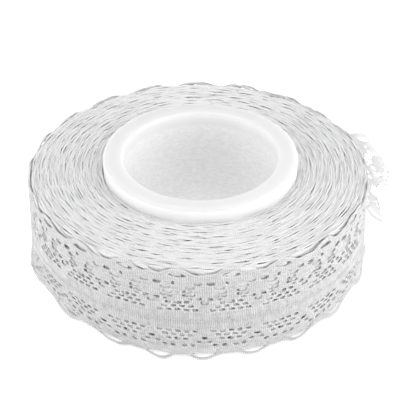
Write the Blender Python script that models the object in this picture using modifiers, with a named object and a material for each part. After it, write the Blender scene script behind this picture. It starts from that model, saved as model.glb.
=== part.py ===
"""A roll of scalloped lace trim, wound on a thick plastic ring and standing on its end.

The lace is one solid of its wound form. Its outermost turn stands as a thin scalloped wall, with a
groove between it and the turns behind, and it flares out over the floor at the front. The cut end of the
strip comes away from the roll at the back right as a sheet of its own.
"""

import math

import bmesh
import bpy
import numpy as np
from mathutils import Vector

MM = 0.001

# Driving sizes, in millimetres
BORE_RADIUS = 38.1
CORE_RADIUS = 48.0
CORE_HEIGHT = 56.0
FIT_GAP = 0.3
ROLL_RADIUS = 84.2
ROLL_SHIFT = -0.9  # the winding is a little thicker on the left
REPEATS = 21  # scallops round the outermost turn
NOTCH_HEIGHT = (45.3, 46.0)  # of the outermost turn's top edge, at the back and at the front
CREST_RISE = (1.7, 3.8)  # of its scallops above the notches, at the back and at the front
SCALLOP_DEPTH = 3.0
TURN_THICKNESS = 1.1
SHEET_THICKNESS = 1.2

# Core: a turned ring with a fine step round its rim
CORE_STEPS = 72
RIM_ROUND = 1.3
STEP_WIDTH = 1.6
STEP_DROP = 0.35

# Roll
COLUMNS_PER_REPEAT = 6
COLUMNS = REPEATS * COLUMNS_PER_REPEAT
TOP_PHASE = 279.5  # angle of one scallop of the top edge, in degrees
FOOT_PHASE = 270.1  # angle of one scallop of the lower edge
BEND_HEIGHT = 8.0  # where the outermost turn starts to bend out over the floor
FOOT_GROOVE = 0.7
FOOT_GROOVE_HEIGHT = 6.5
FOOT_CLEARANCE = 0.3
TOP_GROOVE = 0.8
TOP_GROOVE_FLOOR = 39.5

# How far the crests of the lower border lie out on the floor: angle, reach past the outer face
BORDER_REACH = (
    (0.0, 0.8),
    (20.0, 0.7),
    (29.0, 0.0),
    (50.0, 0.0),
    (60.0, 0.8),
    (180.0, 0.9),
    (186.0, 1.4),
    (194.5, 4.0),
    (203.0, 1.2),
    (224.0, 1.2),
    (240.0, 3.8),
    (254.0, 7.6),
    (270.0, 7.0),
    (287.0, 5.6),
    (303.0, 4.5),
    (319.0, 2.4),
    (332.0, 0.9),
    (360.0, 0.8),
)
NOTCH_REACH = 3.4  # how much less the notches between them reach
NOTCH_LIFT = 2.1  # height of the notches where the border stands on its edge

# Where the outermost turn stands off the next one at the top: angle, half width in degrees, extra gap
TOP_GAPS = (
    (318.0, 24.0, 1.7),
    (222.0, 16.0, 0.8),
    (60.0, 20.0, 0.6),
)

# Main turns seen from above: place from the core (0) to the outside (1), height of the crest,
# depth of the groove outside it, start of the first scallop as a share of one repeat
MAIN_TURNS = (
    (0.04, 48.6, 1.3, 0.10),
    (0.19, 49.2, 1.6, 0.62),
    (0.36, 48.3, 1.3, 0.35),
    (0.53, 47.4, 1.8, 0.81),
    (0.70, 47.2, 1.4, 0.17),
    (0.86, 46.9, 1.9, 0.55),
)
CREST_SCALLOP = 1.5
UNEVENNESS = 0.45

# Openings under the scallops of both borders
EYE_LENGTH = 9.0
EYE_HEIGHT = 2.2
TOP_EYE_DROP = 3.4  # from the crest of the scallop to the middle of its opening
FOOT_EYE_INSET = 2.5  # from the crest that lies on the floor to the middle of its opening
FOOT_EYE_REACH = 4.1  # the lower openings show only where the border lies out this far
EYE_SIDES = 10

# Loose end: it lies against the roll at these angles, then follows points measured from the core's axis
END_ON_ROLL = (43.0, 40.0, 37.0)
END_FREE = (
    (76.0, 41.3),
    (82.4, 34.2),
    (87.4, 27.2),
    (91.4, 20.6),
    (94.4, 14.4),
)
PATH_DEGREE = 4
END_COLUMNS = 22
END_ROWS = 16
END_FOOT = 0.4
END_CREST = 46.0

# How far each height of the cut end reaches past its line: share of the height, reach
RAGGED_EDGE = (
    (0.00, -1.0),
    (0.06, 2.0),
    (0.14, -2.0),
    (0.24, -3.6),
    (0.32, -7.0),
    (0.40, -12.0),
    (0.46, -8.0),
    (0.54, -3.6),
    (0.62, -1.6),
    (0.72, 1.4),
    (0.84, 2.8),
    (0.93, -1.0),
    (1.00, -4.5),
)

# Openings in the loose end: height from the middle of the strip, length, height of the opening,
# openings in one repeat, shift along the strip as a share of their spacing
END_EYES = (
    (19.6, 8.6, 2.3, 1, 0.5),
    (13.4, 4.6, 2.7, 3, 0.0),
    (-13.4, 4.6, 2.7, 3, 0.5),
    (-19.6, 8.6, 2.3, 1, 0.5),
)


def clear_scene():
    for old in list(bpy.data.objects):
        bpy.data.objects.remove(old, do_unlink=True)


def make_collection(name):
    collection = bpy.data.collections.new(name)
    bpy.context.scene.collection.children.link(collection)
    return collection


def make_material(name, color, roughness):
    material = bpy.data.materials.new(name)
    material.use_nodes = True
    shader = material.node_tree.nodes["Principled BSDF"]
    shader.inputs["Base Color"].default_value = (*color, 1.0)
    shader.inputs["Roughness"].default_value = roughness
    shader.inputs["Metallic"].default_value = 0.0
    material.diffuse_color = (*color, 1.0)
    return material


def add_object(name, mesh, collection, material=None):
    obj = bpy.data.objects.new(name, mesh)
    collection.objects.link(obj)
    if material:
        mesh.materials.append(material)
    return obj


def shade_round(mesh, sharp_degrees):
    mesh.shade_smooth()
    mesh.set_sharp_from_angle(angle=math.radians(sharp_degrees))


def hump(angle, centre, half_width):
    """1 at the centre, falling smoothly to 0 at half_width on each side, all in degrees."""
    away = abs((angle - centre + 180.0) % 360.0 - 180.0)
    if away >= half_width:
        return 0.0
    return 0.5 + 0.5 * math.cos(math.pi * away / half_width)


def scallop(turns):
    """Height of a scalloped edge, from 0 in its notches to 1 on its round crests, one a whole turn."""
    across = (turns + 0.5) % 1.0 - 0.5
    return 1.0 - (2.0 * across) ** 2


def wander(angle, seed):
    """A slow, smooth unevenness round the roll, between about -1 and 1."""
    turn = math.radians(angle)
    waves = ((2, 1.0), (3, 0.7), (5, 0.45))
    total = sum(size * math.sin(count * turn + seed * (count + 1.3)) for count, size in waves)
    return total / 1.6


def roll_radius(angle):
    """Distance from the core's axis to the outer face, with the winding a little off centre."""
    turn = math.radians(angle)
    return ROLL_RADIUS + ROLL_SHIFT * math.cos(turn) + UNEVENNESS * wander(angle, 1.0)


def border_reach(angle):
    """How far a crest of the lower border would lie out on the floor at this angle."""
    angles = [row[0] for row in BORDER_REACH]
    reaches = [row[1] for row in BORDER_REACH]
    return float(np.interp(angle % 360.0, angles, reaches))


def top_edge(angle):
    rise = scallop((angle - TOP_PHASE) * REPEATS / 360.0)
    front = 0.5 - 0.5 * math.sin(math.radians(angle))
    notch = NOTCH_HEIGHT[0] + (NOTCH_HEIGHT[1] - NOTCH_HEIGHT[0]) * front
    crest = CREST_RISE[0] + (CREST_RISE[1] - CREST_RISE[0]) * front
    return notch + crest * rise + 0.3 * wander(angle, 2.0)


def outer_turn_section(angle):
    """The outermost turn: its outer face from the top edge down, then its inner face up to the groove."""
    radius = roll_radius(angle)
    rise = scallop((angle - FOOT_PHASE) * REPEATS / 360.0)
    crest = border_reach(angle)
    flat = min(1.0, crest / NOTCH_REACH)  # 1 where the border lies flat, 0 where it stands on its edge
    reach = max(0.35 * crest, crest - NOTCH_REACH * (1.0 - rise))
    foot = FOOT_CLEARANCE + (1.0 - flat) * NOTCH_LIFT * (1.0 - rise)
    inner = radius - TURN_THICKNESS
    return [
        (radius, top_edge(angle)),
        (radius, 30.0),
        (radius, BEND_HEIGHT),
        (radius + 0.12 * reach, 0.5 * BEND_HEIGHT),
        (radius + 0.4 * reach, foot + 1.7),
        (radius + reach, foot + TURN_THICKNESS),
        (radius + reach, foot),
        (radius + 0.4 * reach - 0.5, foot + 0.1),
        (inner + 0.12 * reach, 0.45 * BEND_HEIGHT),
        (inner, FOOT_GROOVE_HEIGHT),
    ]


def wound_section(angle):
    """The turns behind: foot, inner face against the core, then the top's crests and grooves, outwards."""
    radius = roll_radius(angle)
    body = radius - TURN_THICKNESS - FOOT_GROOVE
    bore = CORE_RADIUS + FIT_GAP
    gap = TOP_GROOVE + sum(more * hump(angle, centre, width) for centre, width, more in TOP_GAPS)
    shoulder = radius - TURN_THICKNESS - gap
    points = [
        (body, FOOT_GROOVE_HEIGHT),
        (body, 0.0),
        (bore + 1.2, 0.0),
        (bore, 1.2),
        (bore, MAIN_TURNS[0][1] - 1.4),
    ]
    places = [turn[0] for turn in MAIN_TURNS] + [1.0]
    for index, (place, height, groove, start) in enumerate(MAIN_TURNS):
        crest = bore + place * (shoulder - bore)
        valley = bore + (0.45 * place + 0.55 * places[index + 1]) * (shoulder - bore)
        scallops = round(2.0 * math.pi * (bore + place * (ROLL_RADIUS - bore)) / repeat_length())
        rise = scallop(angle * scallops / 360.0 + start)
        uneven = 0.5 * wander(angle, 3.0 + index)
        points.append((crest, height - CREST_SCALLOP * (1.0 - rise) + uneven))
        points.append((valley, height - groove - 0.5 * CREST_SCALLOP + uneven))
    points.append((shoulder, top_edge(angle + 7.0) - 0.6))
    points.append((shoulder, TOP_GROOVE_FLOOR))
    points.append((radius - TURN_THICKNESS, TOP_GROOVE_FLOOR))
    points.append((radius - TURN_THICKNESS, top_edge(angle) - 0.15))
    return points


def repeat_length():
    return 2.0 * math.pi * ROLL_RADIUS / REPEATS


def ring_mesh(name, section):
    """Joins the sections round the axis into one closed surface. A section runs down the outer side."""
    mesh = bpy.data.meshes.new(name)
    build = bmesh.new()
    rings = []
    for column in range(COLUMNS):
        angle = TOP_PHASE + column * 360.0 / COLUMNS
        turn = math.radians(angle)
        out = Vector((math.cos(turn), math.sin(turn), 0.0))
        points = section(angle % 360.0)
        rings.append([build.verts.new((out * r + Vector((0.0, 0.0, z))) * MM) for r, z in points])
    for column, ring in enumerate(rings):
        after = rings[(column + 1) % COLUMNS]
        for row in range(len(ring)):
            below = (row + 1) % len(ring)
            build.faces.new((ring[row], ring[below], after[below], after[row]))
    bmesh.ops.recalc_face_normals(build, faces=build.faces)
    build.to_mesh(mesh)
    build.free()
    return mesh


def eye_outline(length, height):
    """A pointed oval, as two arcs that meet at its ends."""
    half = EYE_SIDES // 2
    outline = []
    for side in (1, -1):
        for step in range(half):
            share = -1.0 + 2.0 * step / half
            outline.append((side * share * length / 2.0, side * (1.0 - share * share) * height / 2.0))
    return outline


def add_eye(build, centre, along, through, length, height, depth):
    """Adds a pointed-oval prism that cuts an opening, its middle at centre."""
    up = through.cross(along)
    outline = eye_outline(length, height)
    rim = [centre + along * x + up * y for x, y in outline]
    front = [build.verts.new((point + through * depth / 2.0) * MM) for point in rim]
    back = [build.verts.new((point - through * depth / 2.0) * MM) for point in rim]
    build.faces.new(front)
    build.faces.new(back[::-1])
    for index in range(len(outline)):
        after = (index + 1) % len(outline)
        build.faces.new((front[index], back[index], back[after], front[after]))


def cutter_object(name, build, cutters):
    mesh = bpy.data.meshes.new(name)
    bmesh.ops.recalc_face_normals(build, faces=build.faces)
    build.to_mesh(mesh)
    build.free()
    cutter = add_object(name, mesh, cutters)
    cutter.hide_render = True
    cutter.display_type = "WIRE"
    return cutter


def cut(obj, cutter):
    boolean = obj.modifiers.new("openings", "BOOLEAN")
    boolean.operation = "DIFFERENCE"
    boolean.solver = "EXACT"
    boolean.object = cutter


def radial_eye(build, angle, inner, outer, height, size):
    turn = math.radians(angle)
    out = Vector((math.cos(turn), math.sin(turn), 0.0))
    along = Vector((-out.y, out.x, 0.0))
    centre = out * (inner + outer) / 2.0 + Vector((0.0, 0.0, height))
    add_eye(build, centre, along, out, size[0], size[1], outer - inner)


def floor_eye(build, angle, radius):
    """An opening cut straight down through the border where it lies on the floor."""
    turn = math.radians(angle)
    centre = Vector((math.cos(turn), math.sin(turn), 0.0)) * radius
    along = Vector((-math.sin(turn), math.cos(turn), 0.0))
    add_eye(build, centre, along, Vector((0.0, 0.0, 1.0)), EYE_LENGTH, EYE_HEIGHT, 12.0)


def make_core(collection, material):
    """The plastic ring: a profile turned round the axis, its outer side running from top to bottom."""
    edge = CORE_HEIGHT - STEP_DROP
    profile = [
        (BORE_RADIUS + RIM_ROUND, CORE_HEIGHT),
        (CORE_RADIUS - STEP_WIDTH, CORE_HEIGHT),
        (CORE_RADIUS - STEP_WIDTH + 0.3, edge),
        (CORE_RADIUS - 0.5, edge),
        (CORE_RADIUS, edge - 0.5),
        (CORE_RADIUS, 0.5),
        (CORE_RADIUS - 0.5, 0.0),
        (BORE_RADIUS + 0.8, 0.0),
        (BORE_RADIUS, 0.8),
        (BORE_RADIUS, CORE_HEIGHT - RIM_ROUND),
        (BORE_RADIUS + 0.3 * RIM_ROUND, CORE_HEIGHT - 0.3 * RIM_ROUND),
    ]
    mesh = bpy.data.meshes.new("core")
    build = bmesh.new()
    points = [build.verts.new((radius * MM, 0.0, height * MM)) for radius, height in profile]
    for index in range(len(points)):
        build.edges.new((points[index], points[(index + 1) % len(points)]))
    build.to_mesh(mesh)
    build.free()
    core = add_object("core", mesh, collection, material)
    screw = core.modifiers.new("turn", "SCREW")
    screw.axis = "Z"
    screw.angle = 2.0 * math.pi
    screw.steps = CORE_STEPS
    screw.render_steps = CORE_STEPS
    screw.use_merge_vertices = True
    screw.merge_threshold = 0.0001
    screw.use_smooth_shade = True
    return core


def make_roll(collection, cutters, material):
    """The wound lace, with the openings under the scallops cut through its outermost turn."""
    mesh = ring_mesh("lace_roll", lambda angle: outer_turn_section(angle) + wound_section(angle))
    roll = add_object("lace_roll", mesh, collection, material)
    build = bmesh.new()
    step = 360.0 / REPEATS
    for index in range(REPEATS):
        top = (TOP_PHASE + index * step) % 360.0
        radius = roll_radius(top)
        groove = radius - TURN_THICKNESS - 0.5 * TOP_GROOVE
        height = top_edge(top) - TOP_EYE_DROP
        radial_eye(build, top, groove, radius + 2.0, height, (EYE_LENGTH, EYE_HEIGHT))
        foot = (FOOT_PHASE + index * step) % 360.0
        if border_reach(foot) > FOOT_EYE_REACH:
            floor_eye(build, foot, roll_radius(foot) + border_reach(foot) - FOOT_EYE_INSET)
    cut(roll, cutter_object("roll_openings", build, cutters))
    shade_round(mesh, 50.0)
    return roll


def end_points():
    points = []
    for angle in END_ON_ROLL:
        out = roll_radius(angle) + FIT_GAP + SHEET_THICKNESS / 2.0
        points.append((out * math.cos(math.radians(angle)), out * math.sin(math.radians(angle))))
    return points + list(END_FREE)


def path_point(points, share):
    """A point at this share of the way along a smooth line through the points, and its direction."""
    line = np.array(points)
    steps = np.hypot(*np.diff(line, axis=0).T)
    knots = np.concatenate([[0.0], np.cumsum(steps)]) / steps.sum()
    fit = [np.polyfit(knots, line[:, axis], PATH_DEGREE) for axis in (0, 1)]
    place = Vector((np.polyval(fit[0], share), np.polyval(fit[1], share), 0.0))
    slope = Vector((np.polyval(np.polyder(fit[0]), share), np.polyval(np.polyder(fit[1]), share), 0.0))
    return place, slope.normalized()


def end_length():
    steps = [path_point(end_points(), index / 40.0)[0] for index in range(41)]
    return sum((b - a).length for a, b in zip(steps, steps[1:]))


def make_loose_end(collection, cutters, material):
    """The strip's cut end: a sheet standing on its edge, scalloped above and below, ragged where cut."""
    points = end_points()
    length = end_length()
    middle = (END_FOOT + END_CREST) / 2.0
    heights = [row[0] for row in RAGGED_EDGE]
    reaches = [row[1] for row in RAGGED_EDGE]
    mesh = bpy.data.meshes.new("loose_end")
    build = bmesh.new()
    grid = []
    for column in range(END_COLUMNS + 1):
        share = column / END_COLUMNS
        rise = scallop(share * length / repeat_length() + 0.25)
        low = END_FOOT + SCALLOP_DEPTH * (1.0 - rise)
        high = END_CREST - SCALLOP_DEPTH * (1.0 - rise)
        rows = []
        for row in range(END_ROWS + 1):
            up = row / END_ROWS
            reach = float(np.interp(up, heights, reaches)) * share**3
            place, _ = path_point(points, share * (1.0 + reach / length))
            rows.append(build.verts.new((place + Vector((0.0, 0.0, low + (high - low) * up))) * MM))
        grid.append(rows)
    for left, right in zip(grid, grid[1:]):
        for row in range(END_ROWS):
            build.faces.new((left[row], right[row], right[row + 1], left[row + 1]))
    bmesh.ops.recalc_face_normals(build, faces=build.faces)
    build.to_mesh(mesh)
    build.free()
    sheet = add_object("loose_end", mesh, collection, material)
    thick = sheet.modifiers.new("thickness", "SOLIDIFY")
    thick.thickness = SHEET_THICKNESS * MM
    thick.offset = 0.0
    thick.use_even_offset = True
    shade_round(mesh, 50.0)
    cutter = bmesh.new()
    for rise, eye_length, eye_height, count, shift in END_EYES:
        spacing = repeat_length() / count
        first = (0.25 if count == 1 else 0.0) * spacing
        for index in range(int(length / spacing) + 1):
            along_strip = (index + shift) * spacing - first
            if not eye_length * 0.6 < along_strip < length - eye_length * 0.75:
                continue
            place, along = path_point(points, along_strip / length)
            through = Vector((-along.y, along.x, 0.0))
            centre = place + Vector((0.0, 0.0, middle + rise))
            add_eye(cutter, centre, along, through, eye_length, eye_height, 4.0 * SHEET_THICKNESS)
    cut(sheet, cutter_object("end_openings", cutter, cutters))
    return sheet


def stand_on_origin(pieces, axis):
    """Moves the roll's axis so that the middle of the whole part's base lies at the origin."""
    bpy.context.view_layer.update()
    graph = bpy.context.evaluated_depsgraph_get()
    corners = []
    for piece in pieces:
        seen = piece.evaluated_get(graph)
        corners += [seen.matrix_world @ Vector(corner) for corner in seen.bound_box]
    low = Vector([min(corner[side] for corner in corners) for side in range(3)])
    high = Vector([max(corner[side] for corner in corners) for side in range(3)])
    axis.location = (-(low.x + high.x) / 2.0, -(low.y + high.y) / 2.0, -low.z)


def main():
    clear_scene()
    parts = make_collection("lace_trim_roll")
    cutters = make_collection("cutters")
    plastic = make_material("milky_plastic", (0.90, 0.90, 0.90), 0.42)
    lace = make_material("white_lace", (0.86, 0.86, 0.855), 0.9)
    axis = bpy.data.objects.new("roll_axis", None)
    parts.objects.link(axis)
    pieces = [
        make_core(parts, plastic),
        make_roll(parts, cutters, lace),
        make_loose_end(parts, cutters, lace),
    ]
    for piece in pieces + list(cutters.objects):
        piece.parent = axis
    stand_on_origin(pieces, axis)


main()
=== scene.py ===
"""The looks of the lace roll: knitted turns, the strip wound behind them, the cut end and the ring."""

import math

import bmesh
import bpy
import numpy as np
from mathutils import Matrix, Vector


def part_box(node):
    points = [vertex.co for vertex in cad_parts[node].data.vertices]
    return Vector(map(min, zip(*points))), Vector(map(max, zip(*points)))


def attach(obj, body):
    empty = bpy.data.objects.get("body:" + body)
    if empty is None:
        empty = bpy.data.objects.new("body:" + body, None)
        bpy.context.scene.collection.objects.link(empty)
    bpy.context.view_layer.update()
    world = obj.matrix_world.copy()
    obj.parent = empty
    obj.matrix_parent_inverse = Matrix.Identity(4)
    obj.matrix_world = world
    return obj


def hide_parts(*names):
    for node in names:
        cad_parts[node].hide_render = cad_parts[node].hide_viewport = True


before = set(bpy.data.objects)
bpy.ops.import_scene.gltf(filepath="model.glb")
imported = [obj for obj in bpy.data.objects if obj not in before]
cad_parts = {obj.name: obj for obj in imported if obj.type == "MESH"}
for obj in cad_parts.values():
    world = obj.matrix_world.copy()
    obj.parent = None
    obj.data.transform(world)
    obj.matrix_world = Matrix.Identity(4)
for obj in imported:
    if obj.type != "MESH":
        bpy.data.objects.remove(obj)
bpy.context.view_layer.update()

MM = 0.001

# The ring, read from the frame, in millimetres
core_low, core_high = [Vector(corner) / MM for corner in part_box("core")]
AXIS = Vector(((core_low.x + core_high.x) / 2.0, (core_low.y + core_high.y) / 2.0, 0.0))
CORE_RADIUS = (core_high.x - core_low.x) / 2.0
CORE_HEIGHT = core_high.z
BORE_RADIUS = 38.1

# The roll
ROLL_RADIUS = 84.2
ROLL_SHIFT = -0.9  # the winding is a little thicker on the left
UNEVENNESS = 0.45
REPEATS_PER_TURN = 21
REPEAT = 2.0 * math.pi * ROLL_RADIUS / REPEATS_PER_TURN
UPPER_CREST = 31.5  # from the strip's middle seam to the crests of its upper edge
UPPER_NOTCH = 27.4
LOWER_CREST = 25.0
SEAM_HEIGHT = 19.0  # the seam's height on the outermost turn
TOP_FRONT = 46.0  # height of the upper edge's notches at the front and at the back
TOP_BACK = 44.7
FRONT_SPAN = (-0.3, 0.5)  # how far forward, as a sine, the back's values end and the front's begin
END_ANGLE = 43.0  # where the loose end leaves the roll
TOP_CREST_ANGLE = 278.7  # one scallop of the outermost turn's top edge

# The lace's threads
THREAD = 0.27  # half the thickness of a thread between two openings
SIDE_RELIEF = 0.95  # of the threads between the cells of a row, as a share of a thread
DENSE_RELIEF = 0.6  # of the middle of a dense cell
RIB_PROUD = 0.26
RIB_FOOT = 0.1  # height of its foot, as a share of a thread
RIB_HALF_WIDTH = 0.3  # as a share of the step between two points
RIB_MARGIN = 0.12  # from its ends to the lines above and below
RIB_SLOPE = 0.2  # length of its sloping ends
POINTS = 24  # points on each line across one repeat
WELD = 0.002  # joins the halves of a repeat
ROW_WELD = 0.004  # joins the repeats of a strip

# The turns: distance from one to the next, half a wound turn's thickness, and how they lie together
LACE_PITCH = 0.62
WOUND_PITCH = 0.64
WOUND_THICKNESS = 0.35
OUTER_TURN_OUT = 0.6  # past the roll's radius, for the length of the outermost turn
TURN_OVERLAP = 1.0  # of the second turn with the start of the outermost one
CORE_CLEARANCE = 0.5
SECOND_CLEARANCE = 0.2  # from the second turn to the winding behind it
WOUND_START_ANGLE = 20.0
WOUND_PIECES = 3

# How far the crests of the lower border lie out on the floor: angle, reach past the outer face
BORDER_REACH = (
    (0.0, 1.6),
    (20.0, 1.2),
    (29.0, 0.0),
    (50.0, 0.0),
    (60.0, 0.8),
    (180.0, 0.9),
    (186.0, 1.4),
    (194.5, 4.0),
    (203.0, 1.2),
    (224.0, 2.0),
    (240.0, 4.2),
    (254.0, 7.6),
    (270.0, 7.0),
    (287.0, 5.6),
    (303.0, 4.5),
    (319.0, 2.8),
    (332.0, 1.8),
    (360.0, 1.6),
)

# Where the crests of the lower border are pulled to: angle on an even strip, angle on the roll
BORDER_PULL = (
    (185.2, 185.2),
    (202.3, 196.5),
    (219.5, 221.5),
    (236.6, 242.5),
    (253.8, 258.2),
    (270.9, 270.3),
    (288.1, 286.0),
    (305.2, 301.4),
    (322.4, 318.2),
    (339.5, 339.5),
)

# The border's line where it lies out: share of its length, share of its reach, height
BORDER_LINE = (
    (0.0, 0.0, 8.0),
    (0.2, 0.036, 5.4),
    (0.4, 0.18, 3.3),
    (0.6, 0.45, 2.0),
    (0.8, 0.74, 1.15),
    (1.0, 1.0, 0.5),
)

# Where the outermost turn stands off the next one at the top: angle, half width in degrees, extra gap
TOP_GAPS = (
    (318.0, 22.0, 0.9),
    (222.0, 16.0, 0.8),
    (60.0, 20.0, 0.2),
)

# Slow unevenness round the roll: waves in a turn, size
WANDER_WAVES = ((2, 1.0), (3, 0.7), (5, 0.45))
WANDER_SHIFT = 1.3
WANDER_TOTAL = 1.6  # brings the sum of the waves to about 1

# Quick unevenness is the sum of some waves, each between these shares of the length that is given
RIPPLE_WAVES = 5
RIPPLE_SPREAD = (0.6, 1.7)
RIPPLE_TOTAL = 2.6

# The lace's small wobble along the strip and across it: size, how its waves lean, their length, seed
WOBBLE_ALONG = (
    (0.30, 2.0, 16.0, 21),
    (0.16, -3.0, 7.0, 22),
)
WOBBLE_ACROSS = (
    (0.26, 0.7, 18.0, 23),
    (0.14, -1.1, 6.0, 24),
)

# The outer turns. Each ripple is a size, the length of its waves and a seed
SEAM_WANDER = 0.4
NOTCH_WANDER = 0.3
SECOND_DROP = 0.35  # of the second turn's notches at the front
SECOND_RISE = 0.3  # of its notches at the back
SECOND_RIPPLE = (1.0, 60.0, 5)
SCALLOP_SHARE = (0.44, 0.4)  # of the scallops that stands up at the back, and how much more at the front
OUTER_LEAN = 0.2
OUTER_LEAN_RIPPLE = (0.22, 45.0, 9)
LYING_REACH = (1.0, 4.2)  # reach of a border that still stands, and of one that lies flat
FLARE_POWER = 6  # of a standing border's bend outwards
EDGE_LIFT = 0.4  # of an edge that stands on the floor
FLOOR_GAP = 0.2

# The main turns: place from the ring (0) to the outside (1), height of the crests
WOUND_TOP = (
    (0.0, 49.2),
    (0.12, 49.6),
    (0.4, 49.2),
)
WOUND_HEIGHT = 49.2  # height that the fall to the outside starts from
WOUND_OUTSIDE = (45.9, 2.5)  # height at the outside, at the back, and how much more at the front
WOUND_FALL = (0.35, 1.0)  # places between which the height falls to that
WOUND_SEAM = 22.0  # the seam's height
WOUND_WANDER = 0.35
TOP_RIPPLES = ((0.2, 70.0, 11), (0.14, 9.0, 12))
LEAN_RIPPLES = ((0.12, 50.0, 13), (0.14, 6.0, 14))
OUTSIDE_LEAN = 0.3
OUTSIDE_SPAN = (0.6, 1.0)  # places between which that lean and the gaps above begin

# Turns lie a little higher and lower in groups: distance between these, bend, wander, rise, lean,
# lean's phase
GROUP_PITCH = 2.9
GROUP_BEND = 2.4
GROUP_WANDER = 1.7
GROUP_RISE = 0.24
GROUP_LEAN = 0.22
GROUP_PHASE = 1.2

# The loose end's line on the floor: on the roll, then points measured from the axis
END_ON_ROLL = (43.0, 40.0, 37.0)
END_FREE = (
    (76.0, 41.3),
    (82.4, 34.2),
    (87.4, 27.2),
    (91.4, 20.6),
    (94.4, 14.4),
)
END_STAND_OFF = 0.9
END_SPARE = 1.12  # the line is drawn this much longer than the loose end
END_POINTS = 64
END_DEGREE = 4
END_CUT_SPARE = 6.0  # strip that the ragged cut is made in
RIM_WELD = 0.02

# The loose end's shape, first the heights of its seam, its foot and its top
END_SEAM = 18.5
END_FOOT = 0.5
END_TOP = 44.6
END_TOP_RISE = (1.2, 6.0, 22.0)  # size, and where along the strip it starts and ends
END_CORNER = (2.5, 37.0, 6.0)  # rise of the torn corner, its place along the strip, its width
END_LOOSE_FROM = 0.1  # share of its length where it starts to sway
END_CREASE = 55.0

# Its sway: size, waves across the strip, waves along it, phase
END_SWAY = (
    (1.2, 0.16, 0.12, 0.0),
    (0.6, 0.35, 0.0, 1.0),
)


def hump(angle, centre, half_width):
    """1 at the centre, falling smoothly to 0 at half_width on each side, all in degrees."""
    away = np.abs((angle - centre + 180.0) % 360.0 - 180.0)
    return np.where(away < half_width, 0.5 + 0.5 * np.cos(np.pi * away / half_width), 0.0)


def smooth(value, low, high):
    share = np.clip((value - low) / (high - low), 0.0, 1.0)
    return share * share * (3.0 - 2.0 * share)


def wander(angle, seed):
    """A slow, smooth unevenness round the roll, between about -1 and 1."""
    turn = np.radians(angle)
    waves = [size * np.sin(count * turn + seed * (count + WANDER_SHIFT)) for count, size in WANDER_WAVES]
    return sum(waves) / WANDER_TOTAL


def ripple(place, size, length, seed):
    """Smooth unevenness along a line, up to about this size, its waves around this length."""
    draw = np.random.default_rng(seed)
    total = np.zeros_like(place)
    for _ in range(RIPPLE_WAVES):
        wave = length * draw.uniform(*RIPPLE_SPREAD)
        total += np.sin(2.0 * np.pi * (place / wave + draw.uniform()))
    return size * (total / RIPPLE_TOTAL)


def towards_front(angle):
    """0 at the roll's back and 1 at its front."""
    return smooth(-np.sin(np.radians(angle)), *FRONT_SPAN)


def polar(points):
    """The angle of each point in degrees, and its distance from the roll's axis."""
    angle = np.degrees(np.arctan2(points[:, 1], points[:, 0])) % 360.0
    return angle, np.hypot(points[:, 0], points[:, 1])


def from_polar(turned, distance, height):
    return np.stack([distance * np.cos(turned), distance * np.sin(turned), height], axis=1)


def roll_radius(angle):
    turn = np.radians(angle)
    return ROLL_RADIUS + ROLL_SHIFT * np.cos(turn) + UNEVENNESS * wander(angle, 1.0)


def border_reach(angle):
    table = np.array(BORDER_REACH)
    return np.interp(angle % 360.0, table[:, 0], table[:, 1])


# One repeat of the lace. It lies in the x, z plane, x along the strip and z across it from the seam at 0,
# and y is its thickness. Its lines run along the strip, each with the same number of points.

# Lines from the seam to the upper edge: distance from the seam, sag at the notches, relief
UPPER_LINES = (
    (0.00, 0.0, 0.35),
    (5.30, 0.0, 0.9),
    (7.40, 0.0, 1.0),
    (9.60, 0.0, 1.0),
    (12.00, 0.0, 1.0),
    (13.90, 0.0, 1.0),
    (16.00, 0.0, 1.0),
    (18.40, 0.1, 1.1),
    (21.00, 0.3, 1.0),
    (23.70, 0.6, 1.0),
    (25.40, 1.2, 1.0),
    (28.90, 3.3, 1.1),
    (30.80, 3.9, 1.5),
    (31.50, 4.1, 0.0),
)

# Rows between those lines: first point, share of a cell that is open along and across, then its cells,
# each a letter (o open, s small, e the scallop's opening, # dense, = rim) with its width in points
UPPER_ROWS = (
    (0, 0.0, 0.0, "#24"),
    (-2, 0.62, 0.62, "#4 o4 o4 o4 o4 o4"),
    (0, 0.60, 0.62, "#4 o4 o4 o4 o4 #4"),
    (-2, 0.86, 0.94, "o4 #4 s4 o4 s4 #4"),
    (-1, 0.88, 0.92, "#2 o3 #1 s3 #8 s3 #1 o3"),
    (-4, 0.84, 0.88, "#8 o3 o3 #4 o3 o3"),
    (-5, 0.92, 0.95, "#10 o5 #4 o5"),
    (-4, 0.88, 0.84, "#8 o5 #6 o5"),
    (-1, 0.90, 0.95, "#2 o4 #8 s2 #4 o4"),
    (0, 0.0, 0.0, "#24"),
    (0, 0.97, 0.70, "#8 e8 #8"),
    (0, 0.0, 0.0, "#24"),
    (0, 0.0, 0.0, "=24"),
)

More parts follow.
